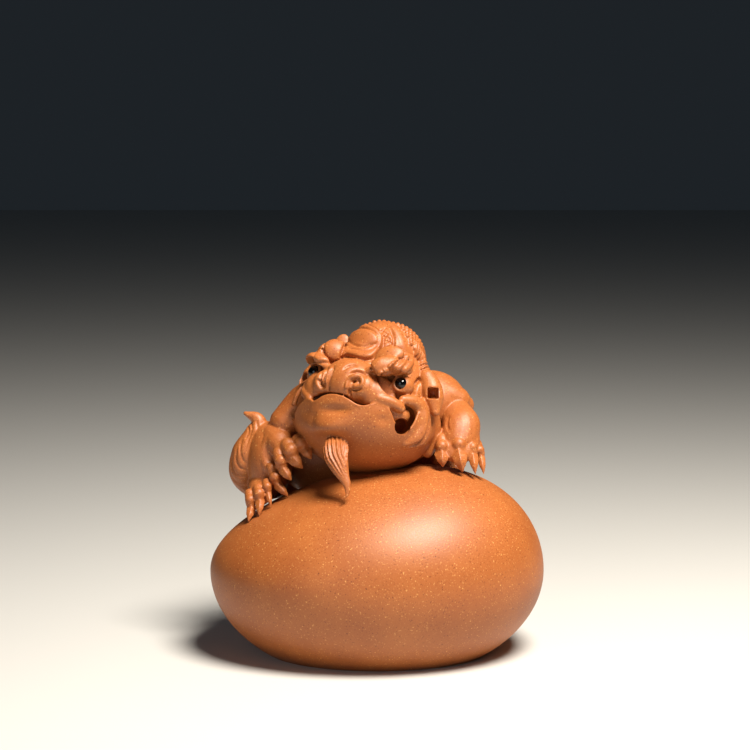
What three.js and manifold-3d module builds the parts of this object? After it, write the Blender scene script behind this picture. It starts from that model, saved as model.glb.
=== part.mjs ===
// A pixiu tea pet: a small beast of unglazed stoneware that crouches on an egg-shaped stone of the same clay.
// The beast and its stone are luted and fired as one piece. Its two eyes are black glass beads.
// Millimetres, +Z up, the beast's face towards -Y. The origin is the middle of the flat foot of the stone.
import * as THREE from "three";
import { mergeVertices } from "three/addons/utils/BufferGeometryUtils.js";
import Module from "manifold-3d";

const wasm = await Module();
wasm.setup();

// The stone: an egg on its side, blunt to the right, with a flat foot.
const STONE_HALF_LENGTH = 40;
const STONE_HALF_DEPTH = 33;
const STONE_WAIST = 19.6;
const STONE_CROWN = 24.2;
const STONE_KEEL = 26.5;
const STONE_BLUNTNESS = 0.25;

// The head's own frame: its face looks along -Y before it is turned.
const HEAD_AT = new THREE.Vector3(-1.6, 4, 59.8);
const HEAD_TURN = { yaw: -26, pitch: -27, roll: 3 };

// The eyes, in the head's frame. The face slants a little, so the right eye sits lower.
const EYE_BEAD_RADIUS = 1.6;
const EYE_AT = [12, -9.7, 2.3];
const EYE_SLANT = 0.5;
const BEAD_CLEARANCE = 0.3;

// The skin of the lower jaw, in the head's frame.
const JAW_AT = [0, -1, -5];
const JAW_RADII = [17.7, 15.8, 12.8];
const LIP_HALF_WIDTH = 13.2;
const LIP_THICKNESS = 1.6;

const FINGER_RADIUS = 1.9;
const HIND_TOE_RADIUS = 1.6;

const CLAY_COLOUR = 0xb0673a;
const BEAD_COLOUR = 0x070708;

const rad = THREE.MathUtils.degToRad;
const vec = (p) => new THREE.Vector3(...p);

// From the head's frame to the whole part's.
const headAngles = [HEAD_TURN.pitch, HEAD_TURN.roll, HEAD_TURN.yaw].map(rad);
const headMatrix = new THREE.Matrix4()
  .makeRotationFromEuler(new THREE.Euler(...headAngles, "ZXY"))
  .setPosition(HEAD_AT);

const eyeAt = (side) => new THREE.Vector3(side * EYE_AT[0], EYE_AT[1], EYE_AT[2] - side * EYE_SLANT);

// The height of the stone's skin over a place on its plan.
function stoneTop(x, y) {
  const rise = Math.sqrt(1 - (x / STONE_HALF_LENGTH) ** 2 - (y / STONE_HALF_DEPTH) ** 2);
  return STONE_WAIST + STONE_CROWN * (1 + (STONE_BLUNTNESS * x) / STONE_HALF_LENGTH) * rise;
}

// A closed three.js geometry as a solid that can be joined and cut.
function solid(geometry) {
  const bare = new THREE.BufferGeometry().setAttribute("position", geometry.getAttribute("position"));
  if (geometry.index) bare.setIndex(geometry.index);
  const merged = mergeVertices(bare, 1e-4);
  const mesh = new wasm.Mesh({
    numProp: 3,
    vertProperties: new Float32Array(merged.attributes.position.array),
    triVerts: new Uint32Array(merged.index.array),
  });
  return new wasm.Manifold(mesh);
}

const join = (parts) => parts.reduce((whole, part) => whole.add(part));

// Turns a geometry about X, then Y, then Z, in degrees, and puts it in its place.
function place(geometry, at, turn = [0, 0, 0]) {
  const matrix = new THREE.Matrix4().makeRotationFromEuler(new THREE.Euler(...turn.map(rad), "ZYX"));
  return geometry.applyMatrix4(matrix.setPosition(...at));
}

// A pressed lump of clay: an ellipsoid.
function lump(at, radii, across, turn) {
  const ball = new THREE.SphereGeometry(1, across, Math.round(across / 2)).rotateX(Math.PI / 2);
  return solid(place(ball.scale(...radii), at, turn));
}

// A rolled and tapered length of clay along a smooth curve, with round ends.
// flat squashes its section along the up direction, flute draws in every second edge,
// and caps is the number of steps in each round end.
function roll(points, radii, { flat = 1, up = [0, 0, 1], sides = 8, steps = 4, flute = 0, caps = 1 } = {}) {
  const curve = new THREE.CatmullRomCurve3(points.map(vec));
  const length = curve.getLength();
  const radiusAt = (t) => {
    const along = t * (radii.length - 1);
    const i = Math.min(Math.floor(along), radii.length - 2);
    return THREE.MathUtils.lerp(radii[i], radii[i + 1], along - i);
  };
  const quarter = Array.from({ length: caps }, (_, i) => (i / caps) * (Math.PI / 2));
  const [first, last] = [radii[0], radii.at(-1)];
  const profile = [
    ...quarter.map((a) => [first * Math.sin(a), -first * Math.cos(a)]),
    ...Array.from({ length: steps + 1 }, (_, i) => [radiusAt(i / steps), (i / steps) * length]),
    ...quarter.reverse().map((a) => [last * Math.sin(a), length + last * Math.cos(a)]),
  ];
  const geometry = new THREE.LatheGeometry(profile.map((p) => new THREE.Vector2(...p)), sides);
  const position = geometry.getAttribute("position");
  for (let i = 0; i < position.count; i++) {
    const t = THREE.MathUtils.clamp(position.getY(i) / length, 0, 1);
    const along = curve.getTangentAt(t);
    const across = new THREE.Vector3().crossVectors(vec(up), along).normalize();
    const out = new THREE.Vector3().crossVectors(along, across);
    const edge = Math.floor(i / profile.length) % 2 ? 1 - flute : 1;
    const point = curve.getPointAt(t)
      .addScaledVector(along, position.getY(i) - t * length)
      .addScaledVector(across, position.getX(i) * edge)
      .addScaledVector(out, -position.getZ(i) * edge * flat);
    position.setXYZ(i, point.x, point.y, point.z);
  }
  return solid(geometry);
}

const mirror = (p) => [-p[0], p[1], p[2]];

// Both sides of the head from one description of its right side.
const pair = (make) => join([make((p) => p), make(mirror)]);

function stone() {
  const egg = new THREE.SphereGeometry(1, 36, 18).rotateX(Math.PI / 2);
  const position = egg.getAttribute("position");
  for (let i = 0; i < position.count; i++) {
    const [x, y, z] = [position.getX(i), position.getY(i), position.getZ(i)];
    const rise = z > 0 ? STONE_CROWN * (1 + STONE_BLUNTNESS * x) : STONE_KEEL;
    position.setXYZ(i, STONE_HALF_LENGTH * x, STONE_HALF_DEPTH * y, STONE_WAIST + rise * z);
  }
  const below = new THREE.BoxGeometry(100, 100, 20).translate(0, 0, -10);
  return solid(egg).subtract(solid(below));
}

// The lip's height across the mouth. It peaks in the middle, rises to a shoulder on each side
// and drops to the corners. The right shoulder is the higher one.
function lipHeight(x) {
  const swell = (centre, width) => Math.exp(-(((x - centre) / width) ** 2));
  const corners = 2.6 * THREE.MathUtils.smoothstep(x, 11, 14) + 2 * THREE.MathUtils.smoothstep(-x, 9, 13);
  return -6.9 + 1.8 * swell(0, 3.6) + 2.2 * swell(9.8, 2.2) + 0.8 * swell(-7.8, 1.6) - corners;
}

// The point of the jaw's skin at a place along the lip.
function onLip(x) {
  const z = lipHeight(x);
  const rest = 1 - (x / JAW_RADII[0]) ** 2 - ((z - JAW_AT[2]) / JAW_RADII[2]) ** 2;
  return [x, JAW_AT[1] - JAW_RADII[1] * Math.sqrt(rest), z];
}

// The lower jaw: a broad scoop whose thin wavy lip stands in front of the snout.
function jaw() {
  const across = Array.from({ length: 33 }, (_, i) => (i / 16 - 1) * 20);
  const line = across.map((x) => new THREE.Vector2(x, lipHeight(x)));
  const outline = new THREE.Shape([new THREE.Vector2(-20, 20), ...line, new THREE.Vector2(20, 20)]);
  const above = new THREE.ExtrudeGeometry(outline, { depth: 24, bevelEnabled: false }).rotateX(Math.PI / 2);
  const bowl = lump(JAW_AT, JAW_RADII, 22).subtract(solid(above));
  const rim = Array.from({ length: 20 }, (_, i) => onLip((i / 9.5 - 1) * LIP_HALF_WIDTH));
  const lip = roll(rim, [LIP_THICKNESS / 2, LIP_THICKNESS / 2], { sides: 4, steps: 17 });
  const bulge = lump([-1.5, -10.4, -10.8], [7, 6.6, 4.4], 12);
  return join([bowl, bulge, lip]);
}

// A wing of the snout: a round button with a raised ring about a pit.
function nostril(m) {
  const profile = [[0, -4], [3, -2.4], [2.9, -0.2], [2, 0.8], [1.2, 0.4], [0, -1.4]];
  const button = new THREE.LatheGeometry(profile.map((p) => new THREE.Vector2(...p)), 10);
  return solid(place(button, m([4.9, -16.4, -1.4]), [166, 0, m([16])[0]]));
}

function snout() {
  const bulb = lump([0.4, -11.7, -0.9], [7.4, 6.2, 6], 14);
  const flanks = pair((m) => lump(m([7.4, -11, -2.4]), [4.2, 4.4, 4.8], 10));
  return join([bulb, flanks, pair(nostril)]);
}

// A fold from the snout into the corner of the mouth, a fatter one round the outside of it,
// and the jowl behind them.
function cheek(m) {
  const inner = [[8.6, -12.6, -2.2], [11.6, -11, -2], [14, -8.4, -3.2], [14.6, -6, -6]];
  const outer = [[14, -8, -0.8], [16.6, -5, -2], [18, -2.4, -6], [17, -2.8, -10], [13.4, -6.2, -12.4]];
  return join([
    roll(inner.map(m), [2, 2.3, 2.2, 1.4], { sides: 6, steps: 3 }),
    roll(outer.map(m), [1.4, 2.4, 2.9, 3, 1.8], { sides: 7, steps: 6 }),
    lump(m([15.8, 3.2, -7.4]), [3.6, 4.8, 6.4], 8),
  ]);
}

// The heavy lid over an eye.
function brow(m) {
  const ridge = [[4.6, -15, 2.6], [7.6, -14.4, 3.8], [10.6, -12.8, 5], [13, -9.4, 6.6], [13, -6, 8.4]];
  return roll(ridge.map(m), [0.9, 1.6, 1.9, 2, 1.4], { sides: 6, steps: 4 });
}

// The forehead boss: a dome in a raised ring, turned like a button and set on the slope of the brow.
function boss() {
  const profile = [[0, -3], [5, -2], [4.9, 0.6], [4.1, 1.2], [3.5, 0.6], [2.4, 1.5], [0, 2]];
  const button = new THREE.LatheGeometry(profile.map((p) => new THREE.Vector2(...p)), 14).rotateX(Math.PI / 2);
  return solid(place(button.scale(1.06, 0.9, 1), [0.6, -10.7, 9.3], [52, 0, 0]));
}

function ear(m) {
  const shell = lump(m([15.6, -1, 1.6]), [2.6, 3, 5.4], 8, [0, m([-8])[0], 0]);
  return shell.subtract(lump(m([17.6, -3.2, 3]), [1.6, 1.8, 2.2], 6));
}

// A lock of the mane that falls from the nape behind an ear.
function nape(m) {
  const fall = [[5, 3, 15.4], [9.4, 3.6, 12], [12, 3.6, 8.4], [13.4, 4, 4]];
  return roll(fall.map(m), [1.6, 2.5, 2.6, 2], { sides: 6, steps: 3 });
}

function head() {
  const atEyes = (radii, back, across) =>
    join([1, -1].map((side) => lump(eyeAt(side).add(vec([0, back, 0])).toArray(), radii, across)));
  const skull = lump([0, 1, 1.5], [15.4, 14.5, 13.5], 16);
  const sockets = atEyes([4, 4.4, 2.9], -2.4, 9);
  const lowerLids = atEyes([2.7, 2.7, 2.6], 1.4, 8);
  const mouthCorners = pair((m) =>
    roll([m([15.2, -9.6, -8]), m([11, -2.5, -6.6])], [2.2, 1.4], { sides: 7, steps: 1 }));
  const face = join([skull.subtract(sockets), lowerLids, snout(), jaw(), pair(cheek)]).subtract(mouthCorners);
  const leafRight = lump([8.9, -11.4, 7.2], [4.3, 2.4, 2.4], 8, [0, -38, 8]);
  const leafLeft = lump([-7.2, -11.2, 6.8], [3.6, 2.4, 2.6], 8, [0, 20, -20]);
  const crest = lump([0, -0.5, 10.4], [10, 10.5, 8.6], 14);
  const collarLine = [[-8.4, -3, 13], [0, -2, 17.2], [5.6, -2.6, 15.4], [9, -4, 11]];
  const collar = roll(collarLine, [1, 1.8, 2, 1], { sides: 6, steps: 5 });
  return join([face, pair(brow), leafRight, leafLeft, crest, boss(), pair(nape), collar, pair(ear)]);
}

// The beard: a fluted lock that curls forward until its tip rests on the stone.
function beard() {
  const root = new THREE.Vector3(0, -11, -13.6).applyMatrix4(headMatrix).toArray();
  const bend = [[-9.4, -10.6, 48.8], [-8.4, -14, 45], [-6.8, -17, 42], [-8, -18.6, 40.2]];
  const section = { sides: 12, steps: 6, flat: 0.65, up: [0, -1, 0.5], flute: 0.14, caps: 2 };
  return roll([root, ...bend], [2.6, 3, 2.5, 1.5, 0.5], section);
}

function body() {
  const chest = lump([1, 13.5, 54], [16, 12, 12.5], 14);
  const rump = lump([-13, 18.5, 46], [14, 11, 11.5], 14);
  const shoulderRight = lump([13, 13.5, 57.2], [9, 8, 8], 12);
  const elbowRight = lump([21, 15, 55.6], [2.5, 3, 3.4], 6);
  const haunchLeft = lump([-26, 8, 44.6], [5.6, 7.5, 9.6], 14);
  const haunchRight = lump([8, 21.5, 47], [8, 8, 9.5], 12);
  const spine = roll([[3, 9, 66], [-3, 17, 62], [-10, 23, 55], [-17, 24, 46]], [5, 6, 6, 5]);
  const armRight = roll([[21, 12, 53.6], [20.4, 7, 51.8], [19.6, 2, 49.4]], [4.8, 5.2, 4.4], { steps: 3 });
  const armLeft = roll([[-12, 10, 61], [-17, 8, 57.6], [-22, 6, 52.6]], [5.4, 5.2, 4.6], { steps: 3 });
  const wristLeft = roll([[-24, 5, 48.6], [-22.2, 1.6, 50], [-21, -0.4, 49.8]], [3.6, 4.4, 3.4], { steps: 3 });
  const footLeft = roll([[-28, 6, 38.5], [-28, 0, 37.4]], [3.4, 3], { sides: 7, steps: 1, caps: 2 });
  const footRight = roll([[13, 22, 41.6], [16.6, 15.6, 41.4]], [3.4, 3], { sides: 7, steps: 1, caps: 2 });
  const trunk = join([chest, rump, spine, shoulderRight, elbowRight, haunchLeft, haunchRight]);
  return join([trunk, armRight, armLeft, wristLeft, footLeft, footRight]);
}

// One toe and its claw, from the knuckle over the root of the claw to its tip.
function toe(knuckle, root, tip, radius) {
  const finger = roll([knuckle, root], [radius, radius * 0.95], { sides: 6, steps: 1 });
  const claw = vec(tip).sub(vec(root));
  const length = claw.length() + radius;
  const spike = new THREE.ConeGeometry(radius * 0.85, length, 5).translate(0, length / 2 - radius, 0);
  spike.applyQuaternion(new THREE.Quaternion().setFromUnitVectors(new THREE.Vector3(0, 1, 0), claw.normalize()));
  return finger.add(solid(spike.translate(...root)));
}

function paws() {
  const right = [
    [[17.8, -0.5, 48.6], [16.4, -3.2, 46.4], [16, -5.2, 44.2]],
    [[20, -0.8, 48.8], [19.6, -3.6, 46.6], [20.2, -5.8, 43.4]],
    [[22, 0.2, 48.2], [22.4, -2.4, 46], [23, -4.6, 42.9]],
    [[23.6, 1.8, 47.4], [24.8, 0, 45.4], [25.4, -2.2, 42.4]],
  ];
  const left = [
    [[-19, -1.4, 51.6], [-17.4, -2.6, 49.8], [-15.2, -3, 46.8]],
    [[-21.4, -1.8, 49.6], [-20, -3.2, 47.4], [-17.6, -3.8, 44.2]],
    [[-23.6, -0.8, 47], [-22.8, -2, 44.6], [-20.4, -2.8, 41.2]],
    [[-25, 1, 43.8], [-24, -0.4, 41.6], [-21.4, -1.4, 37.6]],
  ];
  const hindLeft = [
    [[-29.6, -1, 37.6], [-29.6, -3.6, 35.8], [-29.8, -6.6, 32.8]],
    [[-27.6, -1.6, 38], [-27.4, -4.4, 36.6], [-27, -6.8, 34]],
    [[-25.8, -1, 38.8], [-25.4, -3, 37.4], [-25, -5.2, 35.2]],
  ];
  const hindRight = [[14.6, 13.8], [17, 14], [19, 15.4]].map(([x, y]) => {
    const z = stoneTop(x, y);
    return [[x, y, z + 2], [x + 0.8, y - 2, z + 1.4], [x + 1.4, y - 4, z + 0.2]];
  });
  const front = [...right, ...left].map((t) => toe(...t, FINGER_RADIUS));
  const hind = [...hindLeft, ...hindRight].map((t) => toe(...t, HIND_TOE_RADIUS));
  return join([...front, ...hind]);
}

// The tail: it sweeps round the left haunch and stands up as a flame whose tip curls outward.
function tail() {
  const sweep = [[-20, 22, 38], [-28, 15, 37.5], [-32, 10, 41], [-31.6, 8.6, 46], [-29.2, 8.6, 51]];
  const tip = [[-29, 8.8, 54.4], [-32, 9, 56]];
  return roll([...sweep, ...tip], [4, 3.8, 3.8, 3.9, 3.8, 2.8, 0.5], { steps: 9, up: [0, -1, 0], caps: 2 });
}

const clay = new THREE.MeshStandardMaterial({ color: CLAY_COLOUR, roughness: 0.6, metalness: 0 });
const glass = new THREE.MeshStandardMaterial({ color: BEAD_COLOUR, roughness: 0.05, metalness: 0 });

function meshOf(name, body, material) {
  const { vertProperties, triVerts } = body.getMesh();
  const geometry = new THREE.BufferGeometry()
    .setAttribute("position", new THREE.BufferAttribute(vertProperties, 3))
    .setIndex(new THREE.BufferAttribute(triVerts, 1));
  geometry.computeVertexNormals();
  const mesh = new THREE.Mesh(geometry, material);
  mesh.name = name;
  return mesh;
}

const ball = (at, radius, across) => lump(at, [radius, radius, radius], across);

let pet = join([stone(), body(), head().transform(headMatrix.elements), beard(), paws(), tail()]);
const group = new THREE.Group();
for (const [name, side] of [["eye_bead_right", 1], ["eye_bead_left", -1]]) {
  const at = eyeAt(side).applyMatrix4(headMatrix);
  pet = pet.subtract(ball(at.toArray(), EYE_BEAD_RADIUS + BEAD_CLEARANCE, 10));
  const bead = meshOf(name, ball([0, 0, 0], EYE_BEAD_RADIUS, 12), glass);
  bead.position.copy(at);
  group.add(bead);
}
group.add(meshOf("pixiu_on_stone", pet, clay));

export default group;
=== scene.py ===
import math

import bpy
import numpy as np
from mathutils import Euler, Matrix, Vector
from mathutils.bvhtree import BVHTree
from mathutils.kdtree import KDTree


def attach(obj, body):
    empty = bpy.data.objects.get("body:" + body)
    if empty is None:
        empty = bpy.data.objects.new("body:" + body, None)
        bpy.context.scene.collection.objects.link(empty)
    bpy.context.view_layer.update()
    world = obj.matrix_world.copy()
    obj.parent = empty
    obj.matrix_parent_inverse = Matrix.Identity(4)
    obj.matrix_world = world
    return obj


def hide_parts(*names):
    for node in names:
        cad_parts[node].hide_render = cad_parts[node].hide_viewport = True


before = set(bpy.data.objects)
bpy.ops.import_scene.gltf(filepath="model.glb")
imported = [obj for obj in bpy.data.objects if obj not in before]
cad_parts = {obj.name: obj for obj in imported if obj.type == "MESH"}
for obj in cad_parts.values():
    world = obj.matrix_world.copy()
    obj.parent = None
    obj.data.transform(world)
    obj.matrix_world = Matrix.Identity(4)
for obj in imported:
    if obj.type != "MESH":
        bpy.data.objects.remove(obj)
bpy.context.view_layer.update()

MM = 0.001

# The stone: an egg on its side, blunt to the right, with a flat foot.
STONE_HALF_LENGTH = 40
STONE_HALF_DEPTH = 33
STONE_WAIST = 19.6
STONE_CROWN = 24.2
STONE_KEEL = 26.5
STONE_BLUNTNESS = 0.25

# The head's own frame: its face looks along -Y before it is turned.
HEAD_AT = (-1.6, 4, 59.8)
HEAD_YAW = -26
HEAD_PITCH = -27
HEAD_ROLL = 3

EYE_BEAD_RADIUS = 1.6
EYE_AT = {1: (12, -9.7, 1.8), -1: (-10.9, -10.3, 2.1)}

JAW_AT = (0, -1, -5)
JAW_RADII = (17.7, 15.8, 12.8)

# How finely the clay is worked: the grid that soft masses are blended on, and the one for the finished skin.
MASS_GRID = 0.4
SKIN_GRID = 0.2
SKIN_TRIANGLES = 176000

# The viewer stands half a metre in front and looks down by ten degrees.
VIEWER_AT = (0, -492.4, 122.82)
VIEWER_AIM = (-0.48, 0, 66.37)
LENS = 100

head_frame = (
    Matrix.Translation(HEAD_AT)
    @ Matrix.Rotation(math.radians(HEAD_YAW), 4, "Z")
    @ Matrix.Rotation(math.radians(HEAD_PITCH), 4, "X")
    @ Matrix.Rotation(math.radians(HEAD_ROLL), 4, "Y")
)


# Plain helpers.

def right(p):
    return tuple(p)


def left(p):
    return (-p[0], p[1], p[2])


def in_head(points):
    return [tuple(head_frame @ Vector(p)) for p in points]


def deselect():
    if bpy.context.object and bpy.context.object.mode != "OBJECT":
        bpy.ops.object.mode_set(mode="OBJECT")
    bpy.ops.object.select_all(action="DESELECT")


def pick(piece):
    deselect()
    piece.select_set(True)
    bpy.context.view_layer.objects.active = piece


def join(pieces, name):
    pick(pieces[0])
    for piece in pieces:
        piece.select_set(True)
    if len(pieces) > 1:
        bpy.ops.object.join()
    whole = bpy.context.object
    whole.name = name
    whole.data.name = name
    return whole


def apply_modifier(piece, kind, **settings):
    pick(piece)
    modifier = piece.modifiers.new(kind.lower(), kind)
    for key, value in settings.items():
        setattr(modifier, key, value)
    bpy.ops.object.modifier_apply(modifier=modifier.name)


def corners(mesh):
    places = np.empty(len(mesh.vertices) * 3)
    mesh.vertices.foreach_get("co", places)
    return places.reshape(-1, 3)


def move_corners(mesh, places):
    mesh.vertices.foreach_set("co", places.ravel())
    mesh.update()


def smooth_path(points, count):
    """A smooth curve through the points, as equal steps along its length."""
    p = np.array(points, float)
    p = np.vstack([2 * p[0] - p[1], p, 2 * p[-1] - p[-2]])
    t = np.linspace(0, 1, 16, endpoint=False)[:, None]
    spans = []
    for a, b, c, d in zip(p, p[1:], p[2:], p[3:]):
        spans.append(b + t * (c - a) / 2 + t**2 * (a - 2.5 * b + 2 * c - d / 2) + t**3 * (1.5 * (b - c) + (d - a) / 2))
    dense = np.vstack(spans + [p[-2]])
    travelled = np.concatenate([[0], np.cumsum(np.linalg.norm(np.diff(dense, axis=0), axis=1))])
    wanted = np.linspace(0, travelled[-1], count)
    return np.stack([np.interp(wanted, travelled, axis) for axis in dense.T], axis=1)


# Shapes of clay.

def lump(at, radii, turn=(0, 0, 0), across=32):
    """A pressed lump: an ellipsoid."""
    deselect()
    bpy.ops.mesh.primitive_uv_sphere_add(segments=across, ring_count=across // 2, radius=1)
    piece = bpy.context.object
    spin = Euler([math.radians(a) for a in turn]).to_matrix().to_4x4()
    piece.data.transform(Matrix.Translation(at) @ spin @ Matrix.Diagonal((*radii, 1)))
    return piece


def roll(points, radii, flat=1.0, up=(0, 0, 1), sides=16, flutes=0, flute_depth=0.1, twist=0):
    """A rolled and tapered length with round ends, along a smooth curve. flat squashes its section along up.
    flutes are strands combed along it, and twist is how many degrees they turn."""
    length = np.linalg.norm(np.diff(smooth_path(points, 33), axis=0), axis=1).sum()
    caps = 4
    steps = max(6, int(length / 0.4))
    rings = steps + 2 * caps
    deselect()
    bpy.ops.mesh.primitive_uv_sphere_add(segments=max(sides, 8 * flutes), ring_count=rings, radius=1)
    mesh = bpy.context.object.data
    ball = corners(mesh)
    ring = np.rint(np.arccos(np.clip(-ball[:, 2], -1, 1)) / np.pi * rings)
    around = np.arctan2(ball[:, 1], ball[:, 0])
    along = np.clip((ring - caps) / steps, 0, 1)
    past = np.clip(np.maximum(caps - ring, ring - caps - steps) / caps, 0, 1) * np.pi / 2
    stations = np.linspace(0, 1, 129)
    route = smooth_path(points, 129)
    ways = np.gradient(route, axis=0)
    ways /= np.linalg.norm(ways, axis=1)[:, None]
    ups = np.array(up, float)
    ups = np.tile(ups, (129, 1)) if ups.ndim == 1 else smooth_path(ups, 129)

    def at(table):
        return np.stack([np.interp(along, stations, column) for column in table.T], axis=1)

    way = at(ways)
    across = np.cross(at(ups), way)
    across /= np.linalg.norm(across, axis=1)[:, None]
    out = np.cross(way, across)
    radius = np.interp(along, np.linspace(0, 1, len(radii)), radii)
    section = radius * np.cos(past)
    if flutes:
        section *= 1 - flute_depth * (0.5 + 0.5 * np.cos(flutes * (around + along * math.radians(twist))))
    end = np.where(ring < caps, -1, 1) * radius * np.sin(past)
    places = at(route) + way * end[:, None]
    places += across * (section * np.cos(around))[:, None] + out * (section * np.sin(around) * flat)[:, None]
    move_corners(mesh, places)
    return bpy.context.object


def fuse(pieces, name, grid, soften, strength=0.5):
    """Presses pieces together into one skin and smooths it that many times."""
    whole = join(pieces, name)
    apply_modifier(whole, "REMESH", mode="VOXEL", voxel_size=grid, adaptivity=0)
    if soften:
        apply_modifier(whole, "SMOOTH", factor=strength, iterations=soften)
    return whole


def cut(piece, tools):
    """Takes the tools' shapes out of a piece."""
    for tool in tools:
        apply_modifier(piece, "BOOLEAN", operation="DIFFERENCE", object=tool, solver="EXACT")
        bpy.data.objects.remove(tool)


# Marks. A mark is x, z on the upright plane through the middle, where the viewer sees a feature against it.

def on_sheet(places):
    """The marks at which the viewer sees places."""
    eye = np.array(VIEWER_AT, float)
    way = places - eye
    return eye[[0, 2]] + way[:, [0, 2]] * (-eye[1] / way[:, 1])[:, None]


def behind(mark, depth):
    """The place that far behind the upright plane that the viewer sees at a mark."""
    eye = np.array(VIEWER_AT, float)
    return tuple(eye + (np.array([mark[0], 0, mark[1]]) - eye) * (depth - eye[1]) / -eye[1])


class Skin:
    """Masses that finer work is laid on, where the viewer sees it."""

    def __init__(self, pieces, middle):
        self.middle = middle
        places, faces = [], []
        for piece in pieces:
            base = sum(len(p) for p in places)
            places.append(corners(piece.data))
            faces += [[base + v for v in face.vertices] for face in piece.data.polygons]
        self.tree = BVHTree.FromPolygons(np.vstack(places).tolist(), faces)

    def seen(self, x, z, sink=0.0):
        """The place and facing of the clay at a mark. A mark that misses the clay's edge is moved in to it."""
        eye = Vector(VIEWER_AT)
        mark = Vector((x, 0, z))
        for _ in range(40):
            place, facing, _, _ = self.tree.ray_cast(eye, (mark - eye).normalized())
            if place is not None:
                return place - facing * sink, facing
            mark += (Vector(self.middle) - mark).normalized() * 0.2
        raise ValueError(f"nothing shows near {x}, {z}")

    def laid(self, marks, radii, sink=0.0, **more):
        """A roll laid along marks on the clay."""
        found = [self.seen(x, z, sink) for x, z in marks]
        facing = sum((facing for _, facing in found), Vector())
        return roll([tuple(place) for place, _ in found], radii, up=tuple(facing.normalized()), **more)


class Relief:
    """Works the front of one mass, where the viewer sees the marks. All of it is measured on the clay as it was."""

    def __init__(self, piece):
        self.mesh = piece.data
        self.places = corners(self.mesh)
        facings = np.empty(len(self.places) * 3)
        self.mesh.vertex_normals.foreach_get("vector", facings)
        self.facings = facings.reshape(-1, 3)
        sight = self.places - np.array(VIEWER_AT, float)
        sight /= np.linalg.norm(sight, axis=1)[:, None]
        self.front = np.clip((-(self.facings * sight).sum(axis=1) - 0.05) / 0.25, 0, 1)
        self.marks = on_sheet(self.places)
        self.depth = np.zeros(len(self.places))

    def near(self, line, reach):
        inside = (self.marks > line.min(axis=0) - reach) & (self.marks < line.max(axis=0) + reach)
        return np.nonzero(inside.all(axis=1) & (self.front > 0))[0]

    def gaps(self, found, line):
        """How far the found corners are from a line, and how far along it their nearest points are."""
        best = np.full(len(found), 1e9)
        along = np.zeros(len(found))
        for i, (a, b) in enumerate(zip(line, line[1:])):
            way = b - a
            t = np.clip(((self.marks[found] - a) @ way) / max(way @ way, 1e-9), 0, 1)
            gap = np.linalg.norm(self.marks[found] - a - t[:, None] * way, axis=1)
            closer = gap < best
            best[closer] = gap[closer]
            along[closer] = (i + t[closer]) / (len(line) - 1)
        return best, along

    def line(self, marks, width, depth, taper=0.25):
        """A rounded groove, or with a negative depth a ridge. It thins out over its ends."""
        line = smooth_path(marks, 4 * len(marks))
        found = self.near(line, 2.4 * width)
        gap, along = self.gaps(found, line)
        ends = np.clip(np.minimum(along, 1 - along) / taper, 0, 1) if taper else 1
        self.depth[found] += depth * ends * np.exp(-((gap / width) ** 2)) * self.front[found]

    def pad(self, outline, height, edge, foot=0.0):
        """Raises the clay inside an outline, with a rounded edge and a groove round its foot."""
        line = smooth_path(outline + outline[:1], 4 * len(outline))
        found = self.near(line, 1.0)
        gap, _ = self.gaps(found, line)
        x, z = self.marks[found].T
        inside = np.zeros(len(found), bool)
        for (ax, az), (bx, bz) in zip(line, line[1:]):
            if az != bz:
                inside ^= ((az > z) != (bz > z)) & (x < (bx - ax) * (z - az) / (bz - az) + ax)
        t = np.clip(gap / edge, 0, 1)
        rise = np.where(inside, height * np.sqrt(t * (2 - t)), 0)
        if foot:
            rise -= np.where(inside, 0, foot * np.exp(-((gap / 0.3) ** 2)))
        self.depth[found] -= rise * self.front[found]

    def dent(self, mark, radii, depth):
        mark = np.array([mark])
        found = self.near(mark, 2.2 * max(radii))
        gap = np.linalg.norm((self.marks[found] - mark) / np.array(radii), axis=1)
        self.depth[found] += depth * np.exp(-(gap**2)) * self.front[found]

    def finish(self):
        move_corners(self.mesh, self.places - self.facings * self.depth[:, None])


def mirrored(place):
    """The place on the head's other side."""
    x, y, z = head_frame.inverted() @ Vector(place)
    return tuple(head_frame @ Vector((-x, y, z)))


# The head.

LIP_LINE = [
    (-26, 53), (-21.7, 54.6), (-20.5, 55.8), (-19.3, 57.5), (-18.4, 59.2), (-16.9, 60.4), (-16.0, 60.5), (-15.3, 59.9),
    (-14.1, 60.4), (-12.9, 61.2), (-11.2, 61.6), (-8.8, 61.3), (-6.9, 60.4), (-5.0, 59.2), (-3.1, 58.8), (-1.2, 59.3),
    (0.5, 59.7), (1.9, 58.9), (3.1, 57.5), (4.0, 55.1), (5.2, 53.4), (6.7, 52.8), (8.3, 53.6), (9.3, 55.3), (10.0, 57.3),
]


def curtain(line, far):
    """Everything between a line of marks and a far height, as deep as the viewer looks into it."""
    deselect()
    bpy.ops.mesh.primitive_grid_add(x_subdivisions=len(line) - 1, y_subdivisions=1, size=2)
    block = bpy.context.object
    bpy.ops.object.mode_set(mode="EDIT")
    bpy.ops.mesh.select_all(action="SELECT")
    bpy.ops.mesh.extrude_region_move(TRANSFORM_OT_translate={"value": (0, 0, 1)})
    bpy.ops.object.mode_set(mode="OBJECT")
    places = corners(block.data)
    for place in places:
        x, z = line[round((place[0] + 1) / 2 * (len(line) - 1))]
        place[:] = behind((x, z if place[2] < 0.5 else far), -45 if place[1] < 0 else 4)
    move_corners(block.data, places)
    bpy.ops.object.mode_set(mode="EDIT")
    bpy.ops.mesh.select_all(action="SELECT")
    bpy.ops.mesh.normals_make_consistent(inside=False)
    bpy.ops.object.mode_set(mode="OBJECT")
    return block


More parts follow.
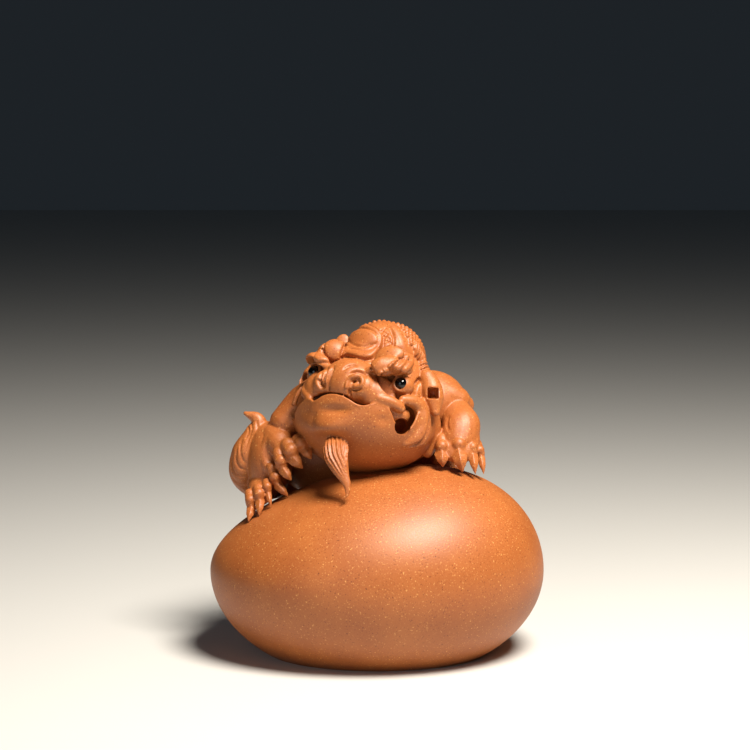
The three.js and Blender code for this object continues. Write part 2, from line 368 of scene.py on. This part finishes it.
def make_jaw():
    """The lower jaw: a broad scoop with a thin wavy lip, and the cheek rolls that it runs into."""
    bowl = lump(JAW_AT, JAW_RADII, across=64)
    bowl.data.transform(head_frame)
    on_bowl = Skin([bowl], middle=(-1, 0, 56))
    c_roll = [(6.5, 60.7), (8.1, 60.5), (9.5, 60.0), (10.8, 58.6), (11.4, 56.1), (11.2, 53.4), (9.8, 51.0), (7.4, 49.6)]
    rolls = [
        on_bowl.laid(c_roll, [1.1, 1.5, 1.7, 1.8, 2.0, 2.3, 2.3, 1.6], sink=0.6),
        on_bowl.laid([(0.4, 61.0), (2.8, 60.3), (4.6, 59.4), (6.0, 58.4)], [1.3, 1.5, 1.4, 1.1], sink=0.5),
        on_bowl.laid([(1.8, 59.2), (4.6, 57.6), (7.8, 56.8)], [1.4, 1.8, 1.9], sink=3.4),
        on_bowl.laid([(-18.2, 63.4), (-19.4, 61.6), (-20.1, 59.6), (-20.4, 57.6), (-20.0, 56.0)], [0.5, 0.7, 0.7, 0.7, 0.4], sink=0.2),
        on_bowl.laid([(-17.1, 64.4), (-17.4, 62.6), (-16.7, 61.2)], [1.2, 1.6, 1.2], sink=0.9),
        roll([(13.4, 0, 57.6), (13.4, 1, 54.4), (13.2, 1, 51), (12.0, 0, 48)], [1.3, 2.0, 2.0, 1.6]),
    ]
    lip = on_bowl.laid(LIP_LINE[1:], [0.36, 0.36], sink=0.2, sides=10)
    scoop = lump(JAW_AT, np.subtract(JAW_RADII, (2.6, 1.3, 1.3)), across=64)
    bpy.ops.object.mode_set(mode="EDIT")
    bpy.ops.mesh.select_all(action="SELECT")
    bpy.ops.mesh.bisect(plane_co=(0, 0, -9.5), plane_no=(0, 0, 1), use_fill=True, clear_inner=True)
    bpy.ops.object.mode_set(mode="OBJECT")
    scoop.data.transform(head_frame)
    mouth = smooth_path(LIP_LINE, 97).tolist() + [(10.6, 61), (30, 61.5)]
    cut(bowl, [curtain(mouth, 95), scoop])
    jowls = [lump((-15.8, 3.2, -7.4), (3.6, 4.8, 6.4)), lump((-14.6, -2.6, -3), (3.6, 5, 5.4))]
    for jowl in jowls:
        jowl.data.transform(head_frame)
    jaw = fuse([bowl, *rolls, *jowls], "jaw", 0.3, 3)
    jaw = fuse([jaw, lip], "jaw", 0.24, 0)
    work = Relief(jaw)
    work.dent((-10.0, 58.0), (3.4, 1.2), 0.9)
    work.dent((-11.6, 54.2), (4.4, 2.0), -1.5)
    work.dent((1.4, 55.6), (1.6, 1.2), 0.4)
    work.dent((-17.0, 57.6), (1.2, 1.6), 0.3)
    work.line([(-14.6, 57.6), (-15.2, 55.4), (-14.2, 53.2)], 0.8, 0.3)
    work.line([(12.9, 57.7), (12.9, 55.1), (12.4, 52.7), (11.2, 50.5), (9.1, 49.3), (6.2, 48.6)], 0.4, 1.1)
    work.finish()
    return jaw


def make_skull():
    """The skull with its crest, brows and eye sockets, and the plates that are carved on it."""
    skull = fuse([
        lump((0, 1, 1.5), (15.4, 14.5, 13.5)),
        lump((0.5, -2, 11), (7.5, 8.4, 7.9)),
        lump((2.6, -0.7, 10.3), (8.2, 9.1, 8.8)),
    ], "skull", MASS_GRID, 6)
    brows = []
    for side in (right, left):
        ridge = [(4.4, -15, 1.8), (7.6, -14.4, 2.9), (10.6, -12.8, 4.0), (12.6, -10, 5.4)]
        brows.append(roll([side(p) for p in ridge], [0.9, 1.8, 2.2, 1.5]))
    brows.append(lump((-7.2, -11.2, 6.8), (3.9, 2.8, 3)))
    brows.append(lump((8.3, -11.2, 6.8), (4.3, 2.6, 2.6), turn=(0, -30, 0)))
    skull = fuse([skull, *brows], "skull", 0.3, 3)
    sockets = []
    for side in (1, -1):
        sockets.append(lump(np.add(EYE_AT[side], (0, -2.4, -0.2)), (3.9, 4.6, 2.8)))
        sockets.append(lump((side * 8.2, -13.4, 0.6), (3.2, 3.8, 2.2)))
        sockets.append(roll([(side * 15.4, -9, 0.2), (side * 15.0, -5.4, 3.4)], [1.0, 0.8]))
    cut(skull, sockets)
    skull.data.transform(head_frame)
    skull = fuse([skull], "skull", 0.27, 1)

    work = Relief(skull)
    plate = [
        (-8.6, 70.7), (-7.4, 71.0), (-5.9, 70.7), (-4.0, 70.2), (-2.4, 70.1), (-1.2, 70.4), (-0.2, 71.2), (0.5, 72.1),
        (1.2, 73.3), (1.4, 74.5), (1.2, 75.7), (0.2, 76.9), (-1.0, 77.6), (-2.4, 78.0), (-3.8, 77.6), (-5.2, 76.6),
        (-6.4, 75.2), (-7.6, 73.5), (-8.3, 72.1),
    ]
    work.pad(plate, 1.0, 0.5, foot=0.9)
    dome = [(-3.1 + 3.6 * math.cos(a), 74.7 + 2.25 * math.sin(a)) for a in np.linspace(0, 2 * math.pi, 13)[:-1]]
    work.pad(dome, 0.45, 1.2)
    work.line([(-5.9, 75.3), (-4.5, 76.4), (-3.1, 76.9), (-1.4, 76.5), (-0.1, 75.5), (0.5, 74.2)], 0.22, 0.7)
    work.line([(-6.8, 73.6), (-5.5, 72.8), (-3.8, 72.4), (-2.1, 72.5), (-0.7, 73.1), (0.4, 74.0)], 0.18, 0.4)
    work.line([(-7.4, 72.2), (-5.5, 71.9), (-3.6, 71.6), (-1.9, 71.7), (-0.5, 72.4), (0.6, 73.6)], 0.16, 0.35)
    leaf_right = [
        (-1.4, 68.4), (-0.5, 69.5), (0.2, 70.7), (1.4, 72.1), (2.6, 72.6), (4.0, 72.8), (5.5, 72.3), (6.3, 71.6),
        (5.9, 70.4), (5.0, 69.5), (3.8, 68.5), (2.6, 67.9), (1.4, 67.3), (0.2, 67.1), (-0.7, 67.6),
    ]
    work.pad(leaf_right, 1.2, 0.5, foot=0.9)
    work.line([(-0.6, 68.4), (1.6, 69.4), (3.8, 70.3), (5.6, 71.4)], 0.5, -0.35)
    brow_right = [
        (-1.2, 67.2), (1.4, 67.7), (3.6, 68.8), (5.5, 70.0), (6.4, 71.2), (7.4, 71.3), (8.3, 70.7), (8.7, 69.5),
        (8.3, 68.3), (6.9, 67.1), (5.5, 66.6), (3.6, 66.3), (1.7, 66.4), (-0.2, 66.7),
    ]
    work.pad(brow_right, 0.9, 0.6, foot=0.2)
    work.line([(2.1, 67.3), (3.8, 68.0), (5.5, 69.1), (6.9, 70.4)], 0.18, 0.5)
    work.line([(2.8, 66.8), (4.7, 67.4), (6.4, 68.5), (7.6, 69.7)], 0.18, 0.5)
    leaf_left = [
        (-12.4, 71.9), (-12.6, 73.1), (-11.6, 74.0), (-10.2, 74.5), (-8.8, 74.5), (-7.6, 74.3), (-8.1, 72.6),
        (-8.6, 71.4), (-9.0, 70.0), (-10.7, 70.0), (-11.9, 70.7),
    ]
    work.pad(leaf_left, 1.0, 0.6, foot=0.9)
    brow_left = [
        (-15.0, 70.2), (-14.5, 71.4), (-13.3, 72.5), (-12.4, 73.3), (-12.4, 71.9), (-11.9, 70.7), (-10.7, 69.8),
        (-9.8, 69.7), (-10.2, 69.0), (-12.1, 69.4), (-14.0, 69.5),
    ]
    work.pad(brow_left, 0.8, 0.5, foot=0.5)
    work.line([(3.0, 77.4), (3.8, 75.9), (4.05, 74.3), (4.1, 72.4)], 0.25, 0.7)
    for i in range(8):
        x, z = 0.6 + 0.33 * i, 77.2 - 0.62 * i
        lean = 1 if i % 2 else -1
        work.line([(x - 0.1, z + 0.5 * lean), (x + 0.9, z), (x + 1.5, z - 0.5 * lean)], 0.17, 0.55, taper=0.15)
    work.line([(10.7, 66.0), (9.6, 64.5), (8.9, 62.8), (8.7, 61.1)], 0.42, 1.6, taper=0.15)
    work.finish()
    return skull


def make_snout():
    """The snout: a ball with a split upper lip and wrinkles round the nostrils."""
    shapes = [lump((0.2, -11.7, -0.6), (7.5, 6.5, 6.4))]
    for side in (right, left):
        shapes.append(lump(side((7.4, -11, -2.4)), (4.3, 4.5, 4.8)))
        shapes.append(lump(side((5.0, -14.2, -1.6)), (3.1, 3, 3.2)))
    snout = fuse(shapes, "snout", 0.3, 5)
    snout.data.transform(head_frame)
    upper_lip = [
        (-24, 57), (-19.5, 58.5), (-18, 60.0), (-16.2, 61.4), (-14.8, 61.2), (-12.9, 62.0), (-11.2, 62.2), (-8.8, 62.0),
        (-7.2, 61.4), (-5.9, 60.3), (-4.5, 59.5), (-3.1, 59.2), (-1.2, 59.6), (0.5, 60.1), (1.9, 59.5), (3.1, 58.4), (9, 57),
    ]
    cut(snout, [curtain(smooth_path(upper_lip, 97).tolist(), 20)])
    snout = fuse([snout], "snout", 0.24, 1)
    work = Relief(snout)
    work.line([(-8.3, 67.4), (-6.9, 68.5), (-5.5, 68.8), (-4.5, 68.4)], 0.2, 0.7)
    groove = [(-8.1, 63.4), (-7.2, 65.2), (-6.4, 66.4), (-5.5, 67.1), (-4.1, 67.2), (-3.0, 66.6), (-2.4, 65.6)]
    work.line(groove, 0.28, 1.0)
    work.line([(-6.6, 63.0), (-5.0, 62.7), (-3.4, 63.2)], 0.28, 0.8)
    work.dent((-5.2, 64.7), (1.6, 1.4), 0.6)
    for fold in (
        [(-10.0, 68.8), (-10.9, 67.1), (-11.5, 65.2), (-11.7, 63.3), (-11.2, 61.8)],
        [(-11.4, 68.3), (-12.3, 66.6), (-12.6, 64.9), (-12.4, 63.3)],
        [(-12.9, 67.3), (-13.5, 65.9), (-13.3, 64.5), (-12.4, 63.0)],
    ):
        work.line(fold, 0.25, 1.0)
    work.line([(-10.6, 68.6), (-11.6, 66.8), (-12.0, 65.0), (-12.0, 63.4)], 0.3, -0.4)
    work.line([(-6.5, 63.2), (-6.6, 61.6), (-6.4, 59.6)], 0.35, 1.3, taper=0.15)
    work.line([(-14.0, 65.6), (-13.8, 64.4), (-12.9, 63.0)], 0.35, 1.4, taper=0.15)
    work.pad([(-0.4, 66.9), (0.3, 64.7), (1.7, 62.6), (3.6, 61.2), (7, 60.3), (8, 63), (7, 66.6), (3, 66.2)], -2.6, 1.2)
    work.finish()
    return snout


def nostrils(on_snout):
    """A curl of clay round the right nostril, and the pit to cut in it. The left one is folds alone."""
    curl = [
        (-7.4, 63.5), (-6.7, 65.2), (-5.4, 66.1), (-4.1, 66.0), (-3.4, 65.0), (-3.7, 63.9), (-4.8, 63.5), (-5.5, 63.8),
        (-5.0, 64.2), (-4.5, 64.4),
    ]
    found = [on_snout.seen(x, z, -0.1) for x, z in curl]
    facing = found[4][1]
    pit = [tuple(on_snout.seen(x, z)[0] + facing * out) for x, z, out in [(-5.6, 64.7, 1.2), (-5.0, 64.9, -1.6)]]
    places = [tuple(place) for place, _ in found]
    radii = [0.35, 0.55, 0.62, 0.62, 0.6, 0.58, 0.5, 0.45, 0.4, 0.3]
    return [roll(places, radii, up=tuple(facing))], [roll(pit, [0.55, 0.4])]


def lids():
    """A ball of flesh behind each bead and a thin lid round it."""
    made = []
    for side in (1, -1):
        flesh = lump(np.add(EYE_AT[side], (0, 1.5, 0)), (2.5, 2.6, 2.5))
        deselect()
        bpy.ops.mesh.primitive_torus_add(major_radius=1.85, minor_radius=0.36, major_segments=40, minor_segments=12)
        ring = bpy.context.object
        turn = Vector((side * 0.42, -0.9, 0.12)).to_track_quat("Z", "Y").to_matrix().to_4x4()
        ring.data.transform(Matrix.Translation(EYE_AT[side]) @ turn @ Matrix.Translation((0, 0, 0.15)))
        for piece in (flesh, ring):
            piece.data.transform(head_frame)
            made.append(piece)
    return made


def mouth_corners():
    """The deep pits at the corners of the mouth, to cut."""
    holes = []
    for side in (right, left):
        holes.append(roll(in_head([side((15.6, -10, -8.6)), side((10.6, -3, -6.4))]), [2.1, 1.7]))
    return holes


def ears():
    made = []
    for side in (right, left):
        shell = [(14.4, -2.2, 6.4), (15.6, -1.8, 4.6), (17.0, -1.2, 1.4), (18.2, -1.2, -1.4)]
        ear = roll(in_head([side(p) for p in shell]), [2.1, 2.7, 2.5, 1.1])
        hollow = [behind((13.5, 62.0), -10), behind((13.3, 62.0), -4.2)]
        if side is left:
            hollow = [mirrored(p) for p in hollow]
        cut(ear, [roll(hollow, [2.1, 1.8], up=(1, 0, 1), sides=4)])
        made.append(ear)
    return made


def collar():
    """A smooth band over the crest, behind the boss."""
    half = [(3.2, -5.6, 17.4), (5.3, -6.2, 16.0), (7.0, -6.4, 14.1), (8.0, -6.3, 12.5), (8.8, -5.5, 11.0)]
    line = [(-6.0, -5.4, 13.6), (-4.0, -5.2, 15.6), (0, -5.0, 17.8)] + half
    centre = Vector((0, -1, 10))
    ups = [tuple(head_frame.to_3x3() @ (Vector(p) - centre).normalized()) for p in line]
    return roll(in_head(line), [0.5, 0.9, 1.2, 1.4, 1.4, 1.2], flat=0.55, up=ups)


def curls(on_skull):
    """Rows of small knobs over the crest, behind the collar."""
    made = []
    centre = Vector((1.4, -0.7, 10))
    middle = head_frame @ centre
    for row in range(20):
        for i in range(-12, 13):
            across, back = math.radians((i + (row % 2) / 2) * 7.8), math.radians(-48 + 7.2 * row)
            way = Vector((math.sin(across), math.cos(across) * math.sin(back), math.cos(across) * math.cos(back)))
            way = head_frame.to_3x3() @ way
            place, _, _, _ = on_skull.tree.ray_cast(middle + way * 25, -way)
            local = head_frame.inverted() @ place
            if local.y > -5.3 and local.z > 7.4 and abs(across) < math.radians(80):
                made.append(lump(place + way * 0.15, (0.58, 0.58, 0.58), across=8))
    return made


def plaits(on_skull):
    """A plaited lock that falls from the crest behind each brow."""
    fall = smooth_path([(9.0, 72.6), (9.9, 70.8), (10.7, 68.8), (11.4, 66.2)], 9)
    steps = [on_skull.seen(x, z, 0.1) for x, z in fall]
    made = []
    for i, (place, facing) in enumerate(steps):
        a, b = steps[max(i - 1, 0)][0], steps[min(i + 1, 8)][0]
        way = (b - a).normalized()
        side = facing.cross(way).normalized()
        turn = Matrix((side, way, facing)).transposed().to_4x4()
        lean = Matrix.Rotation(math.radians(-38), 4, "Z")
        size = Matrix.Diagonal((2.1, 0.46, 1.6, 1))
        for flip in (False, True):
            lock = lump((0, 0, 0), (1, 1, 1), across=16)
            lock.data.transform(Matrix.Translation(place) @ turn @ lean @ size)
            if flip:
                lock.data.transform(head_frame @ Matrix.Diagonal((-1, 1, 1, 1)) @ head_frame.inverted())
                lock.data.flip_normals()
            made.append(lock)
    return made


def beard():
    fall = [(-9.2, -8.5, 52.8), (-9.5, -12.6, 51.2), (-9.5, -14.7, 49.2), (-8.8, -16, 47.2), (-7.9, -17, 45.1)]
    fall += [(-6.9, -18, 42.9), (-6.9, -18.8, 40.8), (-8, -19.2, 39.9)]
    radii = [1.9, 2.7, 3.1, 2.9, 2.2, 1.3, 0.7, 0.15]
    return roll(fall, radii, flat=0.62, up=(0, -1, 0.4), flutes=16, flute_depth=0.34, twist=60)


# The body.

def make_body():
    trunk = fuse([
        lump((1, 13.5, 54), (16, 12, 12.5)),
        lump((-13, 18.5, 46), (14, 11, 11.5)),
        lump((8, 21.5, 47), (8, 8, 9.5)),
        roll([(3, 9, 66), (-3, 17, 62), (-10, 23, 55), (-17, 24, 46)], [5, 6, 6, 5]),
        lump((13, 12.8, 57.4), (9.2, 8, 8.7)),
    ], "trunk", MASS_GRID, 8)
    arms = fuse([
        roll([(12.5, 11, 61.2), (17, 11, 60.2), (19, 11, 59.2)], [5, 4.6, 4], flat=0.85),
        lump((22, 12, 57.6), (1.7, 2.4, 2.2)),
        roll([(-12, 10, 61), (-17, 8, 58.2), (-22, 6, 54.2)], [5.4, 5.2, 4.0]),
    ], "arms", 0.3, 2)
    fore = fuse([
        roll([(19.4, 7, 55.8), (20.2, 3, 53.6), (19.8, 1, 51)], [4.0, 4.7, 4.5], flat=0.85, up=(0, -1, 0)),
        roll([(19.8, 1.2, 51.4), (19.4, -0.4, 49.6)], [5.0, 5.0], flat=0.5, up=(0, -1, 0.5)),
        roll([(-25, 5, 51), (-23.4, 2.6, 49.6), (-21.8, 0.6, 48)], [3.0, 3.4, 2.9]),
        roll([(-26.4, 2.4, 50.4), (-27, 2.4, 47.5), (-26.4, 1.4, 44.5), (-24.6, 0.4, 41.8)], [1.0, 1.4, 1.4, 0.9]),
    ], "fore", 0.3, 2)
    legs = fuse([
        lump((-26, 8, 44.6), (5.6, 7.5, 9.6)),
        roll([(-28, 6, 38.5), (-28, 0, 37.6)], [3.4, 2.8]),
        roll([(13, 22, 41.6), (16.6, 15.6, 41.4)], [3.4, 3]),
    ], "legs", 0.3, 3)
    work = Relief(fore)
    work.line([(17.4, 57.0), (16.8, 55.6), (16.8, 53.9), (17.6, 52.4)], 0.3, 0.35)
    work.finish()
    work = Relief(legs)
    work.line([(-31.4, 37.0), (-28.8, 38.6), (-26.4, 40.4)], 0.4, 0.5)
    work.finish()
    return [trunk, arms, fore, legs]


def stone_top(x, y):
    rise = math.sqrt(1 - (x / STONE_HALF_LENGTH) ** 2 - (y / STONE_HALF_DEPTH) ** 2)
    return STONE_WAIST + STONE_CROWN * (1 + STONE_BLUNTNESS * x / STONE_HALF_LENGTH) * rise


def toe(knuckle, root, base, tip, thick, broad):
    """A toe that overhangs its broad claw. The claw is a wedge with a ridge down its middle."""
    base, tip = np.array(base, float), np.array(tip, float)
    middle = base * 0.55 + tip * 0.45 + np.array([0, -0.35 * broad, 0.1])
    return [
        roll([knuckle, root], [thick, thick * 0.96], sides=14),
        lump(np.array(knuckle) * 0.25 + np.array(root) * 0.75 + np.array([0, -0.6, 0.3]), [thick] * 3, across=16),
        roll([base, middle, tip], [broad, broad * 0.8, 0.1], flat=0.75, up=(0, -1, 0.35), sides=4),
    ]


def paws():
    toes = [
        [(15.5, 0, 50.8), (15.4, -2.2, 48.7), (15.4, -3.0, 47.8), (15.6, -4.7, 44.8), 1.6, 1.9],
        [(19.3, 0, 51.2), (19.5, -2.4, 49.2), (19.4, -3.4, 48.1), (20.3, -5.7, 43.7), 1.8, 2.1],
        [(22.2, 0.6, 50.7), (22.8, -1.8, 48.4), (22.8, -2.6, 47.3), (23.3, -5.1, 43.2), 1.3, 1.35],
        [(24.0, 1.6, 49.6), (24.7, -0.3, 47.6), (24.8, -1.0, 46.6), (25.4, -3.5, 43.0), 1.15, 1.1],
        [(-18.8, -1.2, 50.9), (-17.8, -2.2, 49.9), (-17.2, -2.6, 49.1), (-15.4, -3.7, 46.5), 1.6, 1.6],
        [(-21.2, -1.2, 49.7), (-20.3, -2.4, 47.9), (-20, -2.8, 46.9), (-17.5, -4.1, 44.4), 1.85, 1.8],
        [(-23.4, -0.8, 47.6), (-22.7, -2.0, 45.2), (-22.2, -2.6, 44), (-20.2, -3.9, 41.4), 1.6, 1.5],
        [(-25.1, -0.2, 44), (-24.1, -1.2, 41.1), (-23.5, -1.8, 40), (-21, -3.2, 37.5), 1.4, 1.3],
        [(-30.4, -0.8, 37.9), (-30.1, -2.8, 36.0), (-29.9, -3.4, 34.8), (-30.5, -6.2, 31.9), 1.3, 1.25],
        [(-28.4, -1.2, 39.2), (-28.0, -3.2, 37.7), (-27.8, -3.8, 36.6), (-27.9, -6.5, 33.4), 1.35, 1.3],
        [(-26.4, -0.8, 40.6), (-26.1, -2.8, 39.4), (-25.9, -3.2, 38.4), (-25.1, -5.1, 35.3), 1.1, 0.95],
    ]
    for x, y in [(14.6, 13.8), (17, 14), (19, 15.4)]:
        z = stone_top(x, y)
        toes.append([(x, y, z + 2), (x + 0.7, y - 1.8, z + 1.5), (x + 0.8, y - 2.2, z + 1), (x + 1.4, y - 4.2, z + 0.1), 1.4, 1.3])
    made = []
    for entry in toes:
        made += toe(*entry)
    return made


def tail():
    """A broad flame of fur that curls up behind the haunch, combed in hooked locks."""
    sweep = [(-20, 22, 38), (-28, 15, 37.5), (-32, 10, 41), (-31.6, 8.6, 46), (-29.2, 8.6, 51)]
    tip = [(-29, 8.8, 54.4), (-32, 9, 56)]
    flame = roll(sweep + tip, [4, 3.8, 3.8, 3.9, 3.8, 2.8, 0.5], up=(0, -1, 0), sides=24)
    flame = fuse([flame], "tail", 0.24, 0)
    work = Relief(flame)
    for lock in (
        [(-32.0, 51.5), (-32.7, 49.1), (-32.5, 46.9), (-31.8, 45.5), (-30.8, 44.8)],
        [(-33.2, 49.6), (-33.7, 47.6), (-33.7, 45.7), (-32.7, 44.0), (-30.8, 43.3)],
        [(-34.4, 48.2), (-34.9, 46.0), (-34.7, 44.0), (-33.5, 42.3), (-30.8, 41.8)],
        [(-35.4, 46.2), (-35.4, 43.8), (-34.7, 41.6), (-33.0, 40.1), (-30.8, 40.1)],
        [(-35.6, 43.3), (-34.9, 40.6), (-33.2, 38.7), (-31.1, 38.4)],
        [(-30.4, 56.1), (-29.9, 53.5), (-30.8, 50.6), (-31.6, 48.2)],
        [(-29.0, 56.4), (-28.5, 53.5), (-29.4, 50.6), (-30.1, 48.2)],
        [(-27.5, 55.4), (-27.3, 53.0), (-28.2, 50.6)],
        [(-31.4, 55.2), (-30.6, 53.0), (-31.6, 50.6)],
    ):
        work.line(lock, 0.2, 0.45)
    work.finish()
    return flame


def spine():
    """Low knobs down the middle of the back."""
    made = []
    for x, y, z in smooth_path([(1.5, 15.2, 69.5), (-4, 22, 65), (-10.5, 27.5, 58.5), (-17, 29, 49)], 9):
        made.append(lump((x, y, z), (1.5, 1.6, 1.5), across=16))
    return made


def make_stone():
    deselect()
    bpy.ops.mesh.primitive_uv_sphere_add(segments=144, ring_count=72, radius=1)
    stone = bpy.context.object
    x, y, z = corners(stone.data).T
    rise = np.where(z > 0, STONE_CROWN * (1 + STONE_BLUNTNESS * x), STONE_KEEL)
    places = np.stack([STONE_HALF_LENGTH * x, STONE_HALF_DEPTH * y, STONE_WAIST + rise * z], axis=1)
    move_corners(stone.data, places)
    bpy.ops.object.mode_set(mode="EDIT")
    bpy.ops.mesh.select_all(action="SELECT")
    bpy.ops.mesh.bisect(plane_co=(0, 0, 0), plane_no=(0, 0, 1), use_fill=True, clear_inner=True)
    bpy.ops.object.mode_set(mode="OBJECT")
    return stone


# The finished clay.

jaw = make_jaw()
skull = make_skull()
snout = make_snout()
on_skull = Skin([skull], middle=(-1, 0, 68))
curl_rolls, pits = nostrils(Skin([snout], middle=(-4, 0, 64)))
beast = fuse([
    jaw, skull, snout, *make_body(), tail(), beard(), collar(),
    *curl_rolls, *lids(), *ears(), *curls(on_skull), *plaits(on_skull), *paws(), *spine(),
], "pixiu", SKIN_GRID, 1, strength=0.3)
cut(beast, [*mouth_corners(), *pits])

triangles = sum(len(f.vertices) - 2 for f in beast.data.polygons)
print("TRI", triangles)
apply_modifier(beast, "DECIMATE", ratio=min(1, SKIN_TRIANGLES / triangles))
clay_piece = join([beast, make_stone()], "fired_clay_pixiu")
clay_piece.data.transform(Matrix.Scale(MM, 4))
bpy.ops.object.shade_smooth_by_angle(angle=math.radians(60))


# Materials.

def colour(hex_code):
    """An sRGB hex colour as the linear numbers that a shader takes."""
    parts = [int(hex_code[i:i + 2], 16) / 255 for i in (0, 2, 4)]
    return (*[c / 12.92 if c <= 0.04045 else ((c + 0.055) / 1.055) ** 2.4 for c in parts], 1)


def node(tree, kind, inputs=None, **settings):
    made = tree.nodes.new(kind)
    for key, value in settings.items():
        setattr(made, key, value)
    for key, value in (inputs or {}).items():
        if isinstance(value, bpy.types.NodeSocket):
            tree.links.new(value, made.inputs[key])
        else:
            made.inputs[key].default_value = value
    return made


def new_material(name):
    material = bpy.data.materials.new(name)
    material.use_nodes = True
    tree = material.node_tree
    shader = tree.nodes["Principled BSDF"]
    return material, tree, shader


def fired_stoneware():
    """Unglazed red-brown stoneware, fired and polished by hand: satin, with fine yellow and dark grains."""
    material, tree, shader = new_material("fired_stoneware")
    place = node(tree, "ShaderNodeTexCoord").outputs["Object"]
    cloud = node(tree, "ShaderNodeTexNoise", {"Vector": place, "Scale": 90.0, "Detail": 3.0})
    base = node(tree, "ShaderNodeMix", {
        0: cloud.outputs["Fac"], 6: colour("8f4a20"), 7: colour("b0672f"),
    }, data_type="RGBA")
    grain = node(tree, "ShaderNodeTexNoise", {"Vector": place, "Scale": 2600.0, "Detail": 1.0})
    light = node(tree, "ShaderNodeMapRange", {"Value": grain.outputs["Fac"], 1: 0.64, 2: 0.8})
    dark = node(tree, "ShaderNodeMapRange", {"Value": grain.outputs["Fac"], 1: 0.36, 2: 0.2})
    speckled = node(tree, "ShaderNodeMix", {
        0: light.outputs[0], 6: base.outputs[2], 7: colour("d59a58"),
    }, data_type="RGBA")
    mixed = node(tree, "ShaderNodeMix", {
        0: dark.outputs[0], 6: speckled.outputs[2], 7: colour("5f2c10"),
    }, data_type="RGBA")
    tree.links.new(mixed.outputs[2], shader.inputs["Base Color"])
    rough = node(tree, "ShaderNodeMapRange", {"Value": grain.outputs["Fac"], 3: 0.4, 4: 0.56})
    tree.links.new(rough.outputs[0], shader.inputs["Roughness"])
    bump = node(tree, "ShaderNodeBump", {"Height": grain.outputs["Fac"], "Strength": 0.25, "Distance": 0.0001})
    tree.links.new(bump.outputs[0], shader.inputs["Normal"])
    return material


def bead_glass():
    """Black glass, fire polished: a hard bright highlight on pure black."""
    material, tree, shader = new_material("black_bead_glass")
    shader.inputs["Base Color"].default_value = colour("050506")
    shader.inputs["Roughness"].default_value = 0.04
    return material


clay_piece.data.materials.clear()
clay_piece.data.materials.append(fired_stoneware())
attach(clay_piece, "root")
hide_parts("pixiu_on_stone")

glass = bead_glass()
for name, side in (("eye_bead_right", 1), ("eye_bead_left", -1)):
    bead = lump(in_head([EYE_AT[side]])[0], [EYE_BEAD_RADIUS] * 3, across=48)
    bead.name = name.replace("eye_bead", "glass_eye")
    bead.data.transform(Matrix.Scale(MM, 4))
    pick(bead)
    bpy.ops.object.shade_smooth()
    bead.data.materials.append(glass)
    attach(bead, "root")
    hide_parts(name)


# Floor, light and camera.

def add_stage():
    deselect()
    bpy.ops.mesh.primitive_plane_add(size=6)
    floor = bpy.context.object
    floor.name = "floor"
    material, tree, shader = new_material("pale_board")
    shader.inputs["Base Color"].default_value = colour("c9c9c6")
    shader.inputs["Roughness"].default_value = 0.7
    floor.data.materials.append(material)


def add_light(name, at, size, watts, tint):
    lamp = bpy.data.lights.new(name, "AREA")
    lamp.shape = "DISK"
    lamp.size = size
    lamp.energy = watts
    lamp.color = colour(tint)[:3]
    holder = bpy.data.objects.new(name, lamp)
    bpy.context.scene.collection.objects.link(holder)
    holder.location = at
    aim = Vector((0, 0, 0.045)) - Vector(at)
    holder.rotation_euler = aim.to_track_quat("-Z", "Y").to_euler()


add_stage()
add_light("softbox", (0.13, -0.16, 0.42), 0.2, 5.2, "fff6ea")
add_light("front_fill", (-0.35, -0.7, 0.25), 0.5, 0.9, "f2f6ff")

world = bpy.data.worlds.new("room")
bpy.context.scene.world = world
world.use_nodes = True
world.node_tree.nodes["Background"].inputs["Color"].default_value = colour("5b6670")
world.node_tree.nodes["Background"].inputs["Strength"].default_value = 0.12

bpy.context.scene.view_settings.view_transform = "Standard"

camera = bpy.data.cameras.new("camera")
camera.lens = LENS
camera.sensor_width = 36
holder = bpy.data.objects.new("camera", camera)
bpy.context.scene.collection.objects.link(holder)
holder.location = Vector(VIEWER_AT) * MM
holder.rotation_euler = (Vector(VIEWER_AIM) - Vector(VIEWER_AT)).to_track_quat("-Z", "Y").to_euler()
bpy.context.scene.camera = holder
